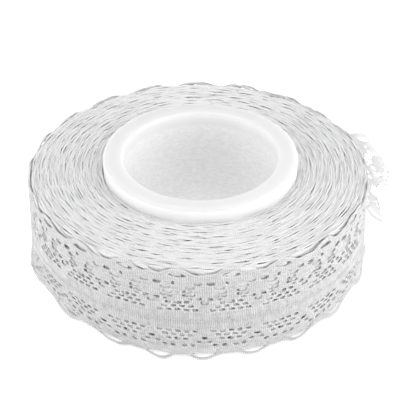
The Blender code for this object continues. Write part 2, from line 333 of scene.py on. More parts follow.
# The lower half is narrower, and its scallops lie half a repeat further along
LOWER_LINES = (
    (0.00, 0.0, 0.35),
    (5.30, 0.0, 0.9),
    (7.40, 0.0, 1.0),
    (9.60, 0.0, 1.0),
    (12.00, 0.0, 1.0),
    (13.80, 0.1, 1.0),
    (16.40, 0.4, 1.0),
    (18.00, 0.9, 1.0),
    (19.60, 1.4, 1.0),
    (22.60, 3.0, 1.1),
    (24.40, 3.6, 1.5),
    (25.00, 3.8, 0.0),
)
LOWER_ROWS = (
    (0, 0.0, 0.0, "#24"),
    (-2, 0.58, 0.56, "#4 o4 o4 o4 o4 o4"),
    (0, 0.56, 0.56, "#4 o4 o4 o4 o4 #4"),
    (-2, 0.68, 0.62, "o4 #4 s4 o4 s4 #4"),
    (-1, 0.66, 0.62, "#2 o3 #16 o3"),
    (-4, 0.66, 0.58, "#8 o3 #1 o3 #2 o3 #1 o3"),
    (0, 0.0, 0.0, "#24"),
    (-2, 0.60, 0.54, "#6 s3 s3 #6 s3 s3"),
    (-6, 0.98, 0.84, "e12 #12"),
    (0, 0.0, 0.0, "#24"),
    (0, 0.0, 0.0, "=24"),
)
SMALL_SHARE = 0.62  # what a small opening takes of its row's shares
OPEN_SHARE = 0.97  # what the others take
SIDE_BOW = 0.55  # height of an opening at its two ends, as a share of its middle
ROUNDNESS = 0.75
NEAR_END = 0.99  # how far out such an end begins

# A scalloped edge, as shares of a repeat: how far the crest is level, and the width of its fall
CREST_LEVEL = 0.06
CREST_FALL = 0.32


def new_object(name, data):
    obj = bpy.data.objects.new(name, data)
    bpy.context.scene.collection.objects.link(obj)
    return obj


def mesh_from(build, name):
    """Turns what was built into a mesh of this name."""
    mesh = bpy.data.meshes.new(name)
    build.to_mesh(mesh)
    build.free()
    return mesh


class Chart:
    """Collects the points and faces of half a strip's repeat, with a front and a back to its threads."""

    def __init__(self, points, lower=False):
        self.build = bmesh.new()
        self.step = REPEAT / points
        self.sign = -1.0 if lower else 1.0
        self.crest = 0.0 if lower else 0.5
        self.known = {}

    def sag(self, x):
        """0 at the scallop's crest and 1 in the notches, which are flatter than the crest."""
        away = abs((x / REPEAT - self.crest + 0.5) % 1.0 - 0.5)
        share = min(max((away - CREST_LEVEL) / CREST_FALL, 0.0), 1.0)
        return share * share * (3.0 - 2.0 * share)

    def vertex(self, x, across, relief, key=None):
        if key is not None and key in self.known:
            return self.known[key]
        made = self.build.verts.new((x, relief, across * self.sign))
        if key is not None:
            self.known[key] = made
        return made

    def face(self, corners, front):
        if front != (self.sign < 0.0):
            corners = corners[::-1]
        self.build.faces.new(corners)


def cells_of(row):
    """The cells of a row as letter, first point and last point."""
    first, _, _, text = row
    cells = []
    for word in text.split():
        last = first + int(word[1:])
        cells.append((word[0], first, last))
        first = last
    return cells


def lace_half(chart, lines, rows, thread):
    """Builds the rows of half a strip, from the seam out to the scalloped edge."""

    def height(line, x):
        distance, sag, _ = lines[line]
        return distance - sag * chart.sag(x)

    def on_line(line, index, side):
        x = index * chart.step
        relief = lines[line][2] * thread
        key = (line, index, 0 if relief == 0.0 else side)
        return chart.vertex(x, height(line, x), side * relief, key)

    def on_side(row, index, side):
        x = index * chart.step
        middle = (height(row, x) + height(row + 1, x)) / 2.0
        return chart.vertex(x, middle, side * thread * SIDE_RELIEF, ("side", row, index, side))

    for row, spec in enumerate(rows):
        for letter, left, right in cells_of(spec):
            rings = []
            for side in (1, -1):
                low = [on_line(row, k, side) for k in range(left, right + 1)]
                high = [on_line(row + 1, k, side) for k in range(left, right + 1)]
                if letter == "=":
                    for k in range(right - left):
                        chart.face([low[k], low[k + 1], high[k + 1], high[k]], side < 0)
                    continue
                rings.append(low + [on_side(row, right, side)] + high[::-1] + [on_side(row, left, side)])
            if letter == "#":
                filling(chart, rings, right - left, thread)
            elif letter != "=":
                opening(chart, rings, letter, spec[1], spec[2])


def opening(chart, rings, letter, wide, high):
    """An open cell: its threads fall away on both sides to a rounded opening."""
    share = SMALL_SHARE if letter == "s" else OPEN_SHARE
    front = rings[0]
    centre = sum((v.co for v in front), Vector()) / len(front)
    half = (max(v.co.x for v in front) - min(v.co.x for v in front)) / 2.0
    inner = []
    for vertex in front:
        away = vertex.co - centre
        x = abs(away.x) / half
        if letter == "e":
            bow = 1.0 - x * x
        elif x > NEAR_END:
            bow = SIDE_BOW
        else:
            bow = math.sqrt(1.0 - ROUNDNESS * x * x)
        place = (centre.x + away.x * wide * share, 0.0, centre.z + away.z * high * share * bow)
        inner.append(chart.build.verts.new(place))
    for ring, is_front in zip(rings, (True, False)):
        for k in range(len(ring)):
            after = (k + 1) % len(ring)
            chart.face([ring[k], ring[after], inner[after], inner[k]], not is_front)


def filling(chart, rings, width, thread):
    """A dense cell: a grid of faces with its middle a little lower than the threads round it."""
    for ring, is_front in zip(rings, (True, False)):
        low = ring[: width + 1]
        high = ring[width + 2 : 2 * width + 3][::-1]
        middle = [ring[-1]]
        for k in range(1, width):
            place = (low[k].co + high[k].co) / 2.0
            place.y = thread * (DENSE_RELIEF if is_front else -DENSE_RELIEF)
            middle.append(chart.build.verts.new(place))
        middle.append(ring[width + 1])
        for k in range(width):
            for below, above in ((low, middle), (middle, high)):
                chart.face([below[k], below[k + 1], above[k + 1], above[k]], not is_front)


def lace_ribs(chart, lines, rows, thread):
    """Ribs that stand across the dense cells, one for each step along a line."""
    for row, spec in enumerate(rows):
        low, high = lines[row], lines[row + 1]
        for letter, left, right in cells_of(spec):
            if letter != "#":
                continue
            for index in range(left, right):
                x = (index + 0.5) * chart.step
                sag = chart.sag(x)
                foot = low[0] - low[1] * sag + RIB_MARGIN
                head = high[0] - high[1] * sag - RIB_MARGIN
                rib(chart, x, foot, head, chart.step * RIB_HALF_WIDTH, thread)


def rib(chart, x, low, high, half_width, thread):
    """One rib: a ridge with sloping ends."""
    foot = ((x - half_width, low), (x + half_width, low), (x + half_width, high), (x - half_width, high))
    base = [chart.vertex(px, pz, RIB_FOOT * thread) for px, pz in foot]
    crest = [chart.vertex(x, pz, thread + RIB_PROUD) for pz in (low + RIB_SLOPE, high - RIB_SLOPE)]
    chart.face([base[0], base[1], crest[0]], False)
    chart.face([base[1], base[2], crest[1], crest[0]], False)
    chart.face([base[2], base[3], crest[1]], False)
    chart.face([base[3], base[0], crest[0], crest[1]], False)
    chart.face([base[3], base[2], base[1], base[0]], False)


def chart_mesh(name, charts):
    """Joins the halves of a repeat into one mesh."""
    whole = bmesh.new()
    for chart in charts:
        part = bpy.data.meshes.new("part")
        chart.build.to_mesh(part)
        whole.from_mesh(part)
        bpy.data.meshes.remove(part)
        chart.build.free()
    bmesh.ops.remove_doubles(whole, verts=whole.verts, dist=WELD)
    return mesh_from(whole, name)


def lace_repeat(name, ribs=True):
    upper = Chart(POINTS)
    lower = Chart(POINTS, lower=True)
    for chart, lines, rows in ((upper, UPPER_LINES, UPPER_ROWS), (lower, LOWER_LINES, LOWER_ROWS)):
        lace_half(chart, lines, rows, THREAD)
        if ribs:
            lace_ribs(chart, lines, rows, THREAD)
    return chart_mesh(name, [upper, lower])


# One repeat of a turn inside the roll. Only its upper border shows, so the rest of it is plain. Its lines
# and rows have the same columns as those above
WOUND_RISE = 0.45  # of the crests over the notches
WOUND_POINTS = 12
WOUND_LINES = (
    (0.0, 0.0, 0.8),
    (22.6, 0.3, 0.9),
    (25.2, 1.2, 1.0),
    (28.9, 3.2, 1.1),
    (31.1, 4.0, 1.0),
    (31.5, 4.1, 0.0),
)
WOUND_ROWS = (
    (0, 0.0, 0.0, "=12"),
    (0, 0.0, 0.0, "=12"),
    (0, 0.60, 0.25, "#4 e4 #4"),
    (0, 0.0, 0.0, "=12"),
    (0, 0.0, 0.0, "=12"),
)
PLAIN_LINES = (
    (0.0, 0.0, 0.8),
    (25.0, 3.8, 0.0),
)
PLAIN_ROWS = ((0, 0.0, 0.0, "=12"),)


def wound_repeat(name):
    upper = Chart(WOUND_POINTS)
    lace_half(upper, WOUND_LINES, WOUND_ROWS, WOUND_THICKNESS)
    lower = Chart(WOUND_POINTS, lower=True)
    lace_half(lower, PLAIN_LINES, PLAIN_ROWS, WOUND_THICKNESS)
    return chart_mesh(name, [upper, lower])


class Tree:
    """A small geometry node tree, with named inputs and short calls for its sums."""

    def __init__(self, name, inputs):
        self.tree = bpy.data.node_groups.new(name, "GeometryNodeTree")
        face = self.tree.interface
        face.new_socket(name="Geometry", in_out="INPUT", socket_type="NodeSocketGeometry")
        for label, kind, _ in inputs:
            face.new_socket(name=label, in_out="INPUT", socket_type=kind)
        face.new_socket(name="Geometry", in_out="OUTPUT", socket_type="NodeSocketGeometry")
        self.start = self.tree.nodes.new("NodeGroupInput")
        self.end = self.tree.nodes.new("NodeGroupOutput")
        self.values = inputs

    def given(self, label):
        return self.start.outputs[label]

    def link(self, source, target):
        if isinstance(source, (int, float, str)):
            target.default_value = source
        else:
            self.tree.links.new(source, target)

    def node(self, kind, **links):
        made = self.tree.nodes.new(kind)
        for label, source in links.items():
            self.link(source, made.inputs[label.replace("_", " ")])
        return made

    def sum(self, operation, *terms):
        made = self.tree.nodes.new("ShaderNodeMath")
        made.operation = operation
        for socket, term in zip(made.inputs, terms):
            self.link(term, socket)
        return made.outputs[0]

    def vector(self, x, y, z):
        made = self.tree.nodes.new("ShaderNodeCombineXYZ")
        for socket, term in zip(made.inputs, (x, y, z)):
            self.link(term, socket)
        return made.outputs[0]

    def apply(self, obj):
        """Runs the tree on the object and keeps what it makes as a plain mesh."""
        modifier = obj.modifiers.new(self.tree.name, "NODES")
        modifier.node_group = self.tree
        given = [item for item in self.tree.interface.items_tree if item.in_out == "INPUT"]
        sockets = {item.name: item.identifier for item in given}
        for label, _, value in self.values:
            modifier[sockets[label]] = value
        graph = bpy.context.evaluated_depsgraph_get()
        mesh = bpy.data.meshes.new_from_object(obj.evaluated_get(graph))
        obj.modifiers.clear()
        old = obj.data
        obj.data = mesh
        bpy.data.meshes.remove(old)
        return obj


STRIP_INPUTS = (
    ("First Repeat", "NodeSocketInt"),
    ("Repeats", "NodeSocketInt"),
    ("Repeat Length", "NodeSocketFloat"),
    ("Cut Start", "NodeSocketFloat"),
    ("Cut End", "NodeSocketFloat"),
    ("Material", "NodeSocketMaterial"),
)


def strip_inputs(start, end, material):
    """Values for a length of the strip, from start to end along it."""
    first = int(start // REPEAT) - 1
    repeats = int(end // REPEAT) - first + 2
    values = (first, repeats, REPEAT, start, end, material)
    return [(label, kind, value) for (label, kind), value in zip(STRIP_INPUTS, values)]


def arrayed(tree):
    """Repeats of the chart in a row, joined and cut at both ends, with each point's place kept on it."""
    begin = tree.sum("MULTIPLY", tree.given("First Repeat"), tree.given("Repeat Length"))
    line = tree.node("GeometryNodeMeshLine", Count=tree.given("Repeats"))
    line.mode = "OFFSET"
    tree.link(tree.vector(begin, 0.0, 0.0), line.inputs["Start Location"])
    tree.link(tree.vector(tree.given("Repeat Length"), 0.0, 0.0), line.inputs["Offset"])
    placed = tree.node("GeometryNodeInstanceOnPoints", Points=line.outputs[0])
    tree.link(tree.given("Geometry"), placed.inputs["Instance"])
    whole = tree.node("GeometryNodeRealizeInstances", Geometry=placed.outputs[0])
    welded = tree.node("GeometryNodeMergeByDistance", Geometry=whole.outputs[0], Distance=ROW_WELD)
    position = tree.node("GeometryNodeInputPosition")
    parts = tree.node("ShaderNodeSeparateXYZ", Vector=position.outputs[0])
    before = tree.sum("LESS_THAN", parts.outputs["X"], tree.given("Cut Start"))
    after = tree.sum("GREATER_THAN", parts.outputs["X"], tree.given("Cut End"))
    outside = tree.sum("MAXIMUM", before, after)
    kept = tree.node("GeometryNodeDeleteGeometry", Geometry=welded.outputs[0], Selection=outside)
    kept.domain = "FACE"
    stored = tree.node("GeometryNodeStoreNamedAttribute", Geometry=kept.outputs[0], Name="strip")
    stored.data_type = "FLOAT_VECTOR"
    stored.domain = "POINT"
    tree.link(position.outputs[0], stored.inputs["Value"])
    return stored.outputs[0], parts


def finished(tree, geometry):
    """Ends the tree with real geometry in its material."""
    whole = tree.node("GeometryNodeRealizeInstances", Geometry=geometry)
    coloured = tree.node("GeometryNodeSetMaterial", Geometry=whole.outputs[0])
    tree.link(tree.given("Material"), coloured.inputs["Material"])
    tree.link(coloured.outputs[0], tree.end.inputs[0])


def wind(name, chart, strip, spiral):
    """Winds a length of the strip into a spiral that opens out clockwise, as seen from above."""
    inputs = strip + [(label, "NodeSocketFloat", value) for label, value in spiral.items()]
    tree = Tree(name + "_winding", inputs)
    geometry, parts = arrayed(tree)
    radius, pitch = tree.given("First Radius"), tree.given("Turn Pitch")
    grown = tree.sum("DIVIDE", tree.sum("MULTIPLY", pitch, parts.outputs["X"]), math.pi)
    root = tree.sum("SQRT", tree.sum("ADD", tree.sum("MULTIPLY", radius, radius), grown))
    opened = tree.sum("SUBTRACT", root, radius)
    turn = tree.sum("DIVIDE", tree.sum("MULTIPLY", opened, 2.0 * math.pi), pitch)
    angle = tree.sum("SUBTRACT", tree.given("Start Angle"), turn)
    out = tree.sum("ADD", root, parts.outputs["Y"])
    x = tree.sum("MULTIPLY", out, tree.sum("COSINE", angle))
    y = tree.sum("MULTIPLY", out, tree.sum("SINE", angle))
    wound = tree.node("GeometryNodeSetPosition", Geometry=geometry)
    tree.link(tree.vector(x, y, parts.outputs["Z"]), wound.inputs["Position"])
    finished(tree, wound.outputs[0])
    return tree.apply(new_object(name, chart))


def vectors_of(data, name):
    flat = np.empty(len(data) * 3, np.float32)
    data.foreach_get(name, flat)
    return flat.reshape(-1, 3).astype(float)


def points_of(mesh):
    return vectors_of(mesh.vertices, "co")


def strip_of(mesh):
    """Each point's place on the flat strip: along it, through it and across it from the seam."""
    return vectors_of(mesh.attributes["strip"].data, "vector")


def put_points(obj, points):
    """Places the points, in millimetres from the roll's axis, in the frame."""
    placed = (points + np.array(AXIS)) * MM
    obj.data.vertices.foreach_set("co", placed.astype(np.float32).ravel())
    obj.data.update()
    obj.data.shade_smooth()


def strip_angle(radius, pitch, length):
    """How far round a strip of this length goes, from its first radius, in radians."""
    return (math.sqrt(radius * radius + pitch * length / math.pi) - radius) * 2.0 * math.pi / pitch


def outer_lace(outer_paint, second_paint):
    """The two outermost turns in full lace, each a piece, and the length of strip in them."""
    first = ROLL_RADIUS - THREAD - 2.0 * LACE_PITCH
    past_crest = math.radians((TOP_CREST_ANGLE - END_ANGLE) % (360.0 / REPEATS_PER_TURN)) * ROLL_RADIUS
    length = (2 * REPEATS_PER_TURN + 0.5) * REPEAT + past_crest
    middle = length - 2.0 * math.pi * (ROLL_RADIUS + OUTER_TURN_OUT)
    spiral = {
        "First Radius": first,
        "Turn Pitch": LACE_PITCH,
        "Start Angle": math.radians(END_ANGLE) + strip_angle(first, LACE_PITCH, length),
    }
    turns = (
        ("lace_outer_turn", middle, length, 0.0, outer_paint),
        ("lace_second_turn", 0.0, middle + TURN_OVERLAP, 1.0, second_paint),
    )
    made = []
    for name, start, end, behind, paint in turns:
        chart = lace_repeat(name, ribs=behind == 0.0)
        obj = wind(name, chart, strip_inputs(start, end, paint), spiral)
        put_points(obj, outer_shape(points_of(obj.data), strip_of(obj.data), behind))
        made.append(obj)
    return made, length


def top_gap(angle):
    return sum(more * hump(angle, centre, width) for centre, width, more in TOP_GAPS)


def wobble(strip, waves):
    """The lace's small unevenness, along or across the strip."""
    x, z = strip[:, 0], strip[:, 2]
    return sum(ripple(x + lean * z, size, length, seed) for size, lean, length, seed in waves)


def outer_shape(points, strip, behind):
    """Stands the upper half up, and lays the lower border out on the floor or stands it on its edge.

    behind is 0 for the outermost turn and 1 for the one behind it.
    """
    angle, distance = polar(points)
    distance = distance + roll_radius(angle) - ROLL_RADIUS
    across = strip[:, 2]
    front = towards_front(angle)

    seam = SEAM_HEIGHT + SEAM_WANDER * wander(angle, 4.0)
    notch = TOP_BACK + (TOP_FRONT - TOP_BACK) * front + NOTCH_WANDER * wander(angle, 2.0)
    drop = SECOND_DROP * front * (1.0 + ripple(strip[:, 0], *SECOND_RIPPLE))
    notch -= behind * (drop - SECOND_RISE * (1.0 - front))
    upper = np.clip(across / UPPER_NOTCH, 0.0, 2.0)
    upright = seam + (notch - seam) * np.minimum(upper, 1.0)
    upright += (SCALLOP_SHARE[0] + SCALLOP_SHARE[1] * front) * np.maximum(across - UPPER_NOTCH, 0.0)

    lower = np.clip(-across / LOWER_CREST, 0.0, 1.0)
    reach = border_reach(angle) * (1.0 - behind)
    flat = smooth(reach, *LYING_REACH)
    line = np.array(BORDER_LINE)
    straight = (seam - line[0, 2]) / LOWER_CREST
    past = np.clip((lower - straight) / (1.0 - straight), 0.0, 1.0)
    lying = np.where(past > 0.0, np.interp(past, line[:, 0], line[:, 2]), seam - lower * LOWER_CREST)
    standing = EDGE_LIFT + (seam - EDGE_LIFT) * (1.0 - lower)
    out = reach * (np.interp(past, line[:, 0], line[:, 1]) * flat + lower**FLARE_POWER * (1.0 - flat))
    thick = strip[:, 1] * flat * smooth(past, 0.2, 0.8)

    below = across < 0.0
    height = np.where(below, standing * (1.0 - flat) + lying * flat, upright)
    height += np.where(below, thick, 0.0) + wobble(strip, WOBBLE_ACROSS) * (1.0 - flat * past)
    height = np.maximum(height, FLOOR_GAP)

    lean = ripple(strip[:, 0], *OUTER_LEAN_RIPPLE) + OUTER_LEAN
    lean = lean * np.clip(upper, 0.0, 1.2) ** 4
    lean -= behind * top_gap(angle) * np.clip(upper, 0.0, 1.0) ** 2
    distance += np.where(below, out - thick, lean)

    pull = np.array(BORDER_PULL)
    pulled = np.interp(angle, pull[:, 0], pull[:, 1] - pull[:, 0]) * (1.0 - behind)
    along = wobble(strip, WOBBLE_ALONG)
    turned = np.radians(angle + pulled * smooth(lower, 0.4, 1.0)) + along / ROLL_RADIUS
    return from_polar(turned, distance, height)


def wound_turns(material):
    """The turns behind, from the ring outwards, in a few lengths of one strip."""
    first = CORE_RADIUS + CORE_CLEARANCE
    last = ROLL_RADIUS - 2.0 * LACE_PITCH - THREAD - SECOND_CLEARANCE
    total = math.pi * (last - first) / WOUND_PITCH * (first + last)
    spiral = {
        "First Radius": first,
        "Turn Pitch": WOUND_PITCH,
        "Start Angle": math.radians(WOUND_START_ANGLE),
    }
    made = []
    for part in range(WOUND_PIECES):
        name = f"lace_wound_{part + 1}"
        start, end = total * part / WOUND_PIECES, total * (part + 1) / WOUND_PIECES
        obj = wind(name, wound_repeat(name), strip_inputs(start, end, material), spiral)
        put_points(obj, wound_shape(points_of(obj.data), strip_of(obj.data), first, last))
        made.append(obj)
    return made


def wound_shape(points, strip, first, last):
    """Lets the turns rise towards the ring, with their top borders a little out of line."""
    angle, distance = polar(points)
    along, across = strip[:, 0], strip[:, 2]
    place = np.clip((distance - first) / (last - first), 0.0, 1.0)
    upper = np.clip(across / UPPER_CREST, 0.0, 1.0)
    lower = np.clip(-across / LOWER_CREST, 0.0, 1.0)
    group = 2.0 * np.pi * distance / GROUP_PITCH + GROUP_BEND * np.sin(np.radians(angle) * 2.0)
    group = group + GROUP_WANDER * wander(angle, 8.0)

    table = np.array(WOUND_TOP)
    outside = WOUND_OUTSIDE[0] + WOUND_OUTSIDE[1] * towards_front(angle)
    top = np.interp(place, table[:, 0], table[:, 1])
    top = top + (outside - WOUND_HEIGHT) * smooth(place, *WOUND_FALL)
    top = top + GROUP_RISE * np.sin(group)
    for row in TOP_RIPPLES:
        top = top + ripple(along, *row)
    top = top + WOUND_WANDER * wander(angle, 6.0)
    body = np.clip(across / UPPER_NOTCH, 0.0, 1.0)
    height = WOUND_SEAM + (top - WOUND_RISE - WOUND_SEAM) * body - (WOUND_SEAM - EDGE_LIFT) * lower
    height += WOUND_RISE / (UPPER_CREST - UPPER_NOTCH) * np.maximum(across - UPPER_NOTCH, 0.0)

    lean = GROUP_LEAN * np.sin(group + GROUP_PHASE)
    for row in LEAN_RIPPLES:
        lean = lean + ripple(along, *row)
    lean = upper**4 * lean
    lean += (OUTSIDE_LEAN * upper**4 - top_gap(angle) * upper**2) * smooth(place, *OUTSIDE_SPAN)
    edge = (roll_radius(angle) - ROLL_RADIUS) * place
    distance = distance + edge + lean * smooth(place, 0.0, 0.03)
    return from_polar(np.radians(angle), distance, height)


def end_line():
    """The smooth line that the loose end follows, as many points and the length up to each."""
    points = []
    for angle in END_ON_ROLL:
        out = float(roll_radius(angle)) + END_STAND_OFF
        points.append((out * math.cos(math.radians(angle)), out * math.sin(math.radians(angle))))
    line = np.array(points + list(END_FREE))
    steps = np.hypot(*np.diff(line, axis=0).T)
    knots = np.concatenate([[0.0], np.cumsum(steps)]) / steps.sum()
    share = np.linspace(0.0, END_SPARE, END_POINTS)
    curves = [np.polyfit(knots, line[:, axis], END_DEGREE) for axis in (0, 1)]
    fine = np.stack([np.polyval(curve, share) for curve in curves], axis=1)
    along = np.concatenate([[0.0], np.cumsum(np.hypot(*np.diff(fine, axis=0).T))])
    return fine, along


# How far each height of the cut end reaches past its line: share of the height, reach
RAGGED_EDGE = (
    (0.00, -1.0),
    (0.06, 2.0),
    (0.14, -2.0),
    (0.30, -1.6),
    (0.39, -2.8),
    (0.43, -11.5),
    (0.46, -12.5),
    (0.50, -6.5),
    (0.56, -3.0),
    (0.60, -1.6),
    (0.72, 1.4),
    (0.84, 2.8),
    (0.93, -1.0),
    (1.00, -4.5),
)


def cut_ragged(obj, start, end):
    """Cuts the flat strip along the ragged edge and joins its front and back along the cut."""
    strip = strip_of(obj.data)
    share = (strip[:, 2] + LOWER_CREST) / (LOWER_CREST + UPPER_CREST)
    table = np.array(RAGGED_EDGE)
    limit = end + np.interp(share, table[:, 0], table[:, 1])
    build = bmesh.new()
    build.from_mesh(obj.data)
    build.verts.ensure_lookup_table()
    gone = [build.verts[k] for k in np.nonzero(strip[:, 0] - start > limit)[0]]
    bmesh.ops.delete(build, geom=gone, context="VERTS")
    rim = [vertex for vertex in build.verts if vertex.is_boundary]
    for vertex in rim:
        vertex.co.y = 0.0
    bmesh.ops.remove_doubles(build, verts=rim, dist=RIM_WELD)
    build.to_mesh(obj.data)
    build.free()


def loose_end(material, start):
    """The cut end: the same lace, standing on its edge along its own line, with a ragged end."""
    line, along = end_line()
    end = float(along[-1]) / END_SPARE
    tree = Tree("loose_end_row", strip_inputs(start, start + end + END_CUT_SPARE, material))
    geometry, _ = arrayed(tree)
    finished(tree, geometry)
    obj = new_object("lace_loose_end", lace_repeat("end_repeat", ribs=False))
    tree.apply(obj)
    cut_ragged(obj, start, end)

    strip = strip_of(obj.data)
    run = strip[:, 0] - start
    across = strip[:, 2]
    x = np.interp(run, along, line[:, 0])
    y = np.interp(run, along, line[:, 1])
    slopes = [np.gradient(line[:, axis], along) for axis in (0, 1)]
    slope = np.stack([np.interp(run, along, one) for one in slopes], axis=1)
    slope /= np.linalg.norm(slope, axis=1)[:, None]
    waves = [size * np.sin(across * high + run * wide + phase) for size, high, wide, phase in END_SWAY]
    sway = smooth(run, END_LOOSE_FROM * end, end) * sum(waves)
    offset = points_of(obj.data)[:, 1] + sway

    rise, rise_start, rise_end = END_TOP_RISE
    corner, corner_place, corner_width = END_CORNER
    top = END_TOP + rise * smooth(run, rise_start, rise_end)
    top = top + corner * np.exp(-(((run - corner_place) / corner_width) ** 2))
    above = END_SEAM + (top - END_SEAM) * across / UPPER_CREST
    under = END_SEAM + (END_SEAM - END_FOOT) * across / LOWER_CREST
    height = np.where(across > 0.0, above, under)
    put_points(obj, np.stack([x - slope[:, 1] * offset, y + slope[:, 0] * offset, height], axis=1))
    obj.data.set_sharp_from_angle(angle=math.radians(END_CREASE))
    return obj, end


# Threads that stick out of the cut: height, length, bend to the side, droop
FRAYED_THREADS = (
    (44.2, 3.2, 0.9, 0.5),
    (40.6, 2.4, -0.6, 0.8),
    (37.4, 4.6, -1.3, 1.6),
    (35.2, 3.0, 1.0, 0.4),
    (31.0, 3.8, 1.5, 0.7),
    (27.4, 5.4, -1.8, 2.6),
    (23.6, 4.2, 1.4, 3.2),
    (20.8, 3.4, -1.2, -1.4),
    (13.2, 4.2, -0.9, -1.8),
    (9.6, 3.6, 1.2, 0.6),
    (5.4, 5.0, 1.8, 1.0),
    (2.6, 4.4, -0.8, 0.9),
)
FRAY_STEPS = 7
FRAY_ROOT = 1.6  # how far inside the cut they start
FRAY_SPREAD = 0.9
FRAY_RADIUS = 0.17
FRAY_AHEAD = 0.5  # along the line, to find its direction


def frayed_threads(material, end):
    """Single threads along the cut, each a thin tube along its own bent line."""
    line, along = end_line()
    table = np.array(RAGGED_EDGE)
    build = bmesh.new()
    for height, length, bend, droop in FRAYED_THREADS:
        root = end + float(np.interp(height / TOP_FRONT, table[:, 0], table[:, 1])) - FRAY_ROOT
        before = None
        for step in range(FRAY_STEPS):
            share = step / (FRAY_STEPS - 1)
            run = root + (length + FRAY_ROOT) * share
            x, y = (float(np.interp(run, along, line[:, axis])) for axis in (0, 1))
            ahead = [float(np.interp(run + FRAY_AHEAD, along, line[:, axis])) for axis in (0, 1)]
            slope = Vector((ahead[0] - x, ahead[1] - y)).normalized()
            side = bend * share**2 + FRAY_SPREAD * math.sin(height)
            drop = droop * share**2
            place = Vector((x - slope.y * side, y + slope.x * side, max(height - drop, END_FOOT)))
            vertex = build.verts.new((place + AXIS) * MM)
            if before is not None:
                build.edges.new((before, vertex))
            before = vertex
    inputs = (
        ("Thread Radius", "NodeSocketFloat", FRAY_RADIUS * MM),
        ("Material", "NodeSocketMaterial", material),
    )
    tree = Tree("frayed_tubes", inputs)
    curves = tree.node("GeometryNodeMeshToCurve", Mesh=tree.given("Geometry"))
    ring = tree.node("GeometryNodeCurvePrimitiveCircle", Radius=tree.given("Thread Radius"), Resolution=5)
    tubes = tree.node("GeometryNodeCurveToMesh", Curve=curves.outputs[0])
    tree.link(ring.outputs[0], tubes.inputs["Profile Curve"])
    tree.link(True, tubes.inputs["Fill Caps"])
    finished(tree, tubes.outputs[0])
    obj = tree.apply(new_object("frayed_threads", mesh_from(build, "frayed_threads")))
    obj.data.shade_smooth()
    return obj


# The ring's rim: a fine step round its outer edge, and the round of the bore's edge
STEP_WIDTH = 1.6
STEP_DROP = 0.35
RIM_ROUND = 1.3
RING_COLUMNS = 240
RING_CREASE = 38.0


def milky_ring(material):
    """The ring, turned finely from a section given as radius and height."""
    step, ledge = CORE_RADIUS - STEP_WIDTH, CORE_HEIGHT - STEP_DROP
    profile = [
        (BORE_RADIUS + RIM_ROUND, CORE_HEIGHT),
        (step, CORE_HEIGHT),
        (step + 0.12, CORE_HEIGHT - 0.08),
        (step + 0.3, ledge),
        (CORE_RADIUS - 0.6, ledge),
        (CORE_RADIUS - 0.18, ledge - 0.15),
        (CORE_RADIUS, ledge - 0.6),
        (CORE_RADIUS, 0.6),
        (CORE_RADIUS - 0.6, 0.0),
        (BORE_RADIUS + 0.8, 0.0),
        (BORE_RADIUS, 0.8),
        (BORE_RADIUS, CORE_HEIGHT - RIM_ROUND),
        (BORE_RADIUS + 0.1, CORE_HEIGHT - 0.62 * RIM_ROUND),
        (BORE_RADIUS + 0.38, CORE_HEIGHT - 0.3 * RIM_ROUND),
        (BORE_RADIUS + 0.7, CORE_HEIGHT - 0.1 * RIM_ROUND),
    ]
    build = bmesh.new()
    rings = []
    for column in range(RING_COLUMNS):
        turn = 2.0 * math.pi * column / RING_COLUMNS
        place = [(r * math.cos(turn), r * math.sin(turn), z) for r, z in profile]
        rings.append([build.verts.new((Vector(point) + AXIS) * MM) for point in place])
    for ring, after in zip(rings, rings[1:] + rings[:1]):
        for row in range(len(ring)):
            below = (row + 1) % len(ring)
            build.faces.new((ring[row], ring[below], after[below], after[row]))
    bmesh.ops.recalc_face_normals(build, faces=build.faces)
    mesh = mesh_from(build, "milky_ring")
    mesh.shade_smooth()
    mesh.set_sharp_from_angle(angle=math.radians(RING_CREASE))
    mesh.materials.append(material)
    return new_object("milky_ring", mesh)


class Paint:
    """A node material with short calls for its textures and mixes."""

    def __init__(self, name):
        self.material = bpy.data.materials.new(name)
        self.material.use_nodes = True
        self.nodes = self.material.node_tree.nodes
        self.links = self.material.node_tree.links
        self.shader = self.nodes["Principled BSDF"]

    def node(self, kind, settings=None, **inputs):
        made = self.nodes.new(kind)
        for label, value in (settings or {}).items():
            setattr(made, label, value)
        for label, value in inputs.items():
            self.set(made.inputs[label.replace("_", " ")], value)
        return made

    def set(self, socket, value):
        if isinstance(value, bpy.types.NodeSocket):
            self.links.new(value, socket)
        else:
            socket.default_value = value

    def surface(self, **values):
        for label, value in values.items():
            self.set(self.shader.inputs[label.replace("_", " ")], value)

    def mix(self, factor, first, second):
        """Mixes two colours, which are this node's inputs 6 and 7 and its output 2."""
        made = self.node("ShaderNodeMix", {"data_type": "RGBA"})
        self.set(made.inputs[0], factor)
        self.set(made.inputs[6], first)
        self.set(made.inputs[7], second)
        return made.outputs[2]

    def sum(self, operation, *terms, kind="ShaderNodeMath", output=0):
        made = self.node(kind, {"operation": operation})
        for socket, term in zip(made.inputs, terms):
            self.set(socket, term)
        return made.outputs[output]

    def vector(self, operation, *terms, output=0):
        return self.sum(operation, *terms, kind="ShaderNodeVectorMath", output=output)

    def noise(self, place, scale, detail):
        return self.node("ShaderNodeTexNoise", Vector=place, Scale=scale, Detail=detail).outputs[0]


def grey(value):
    return (value, value, value, 1.0)


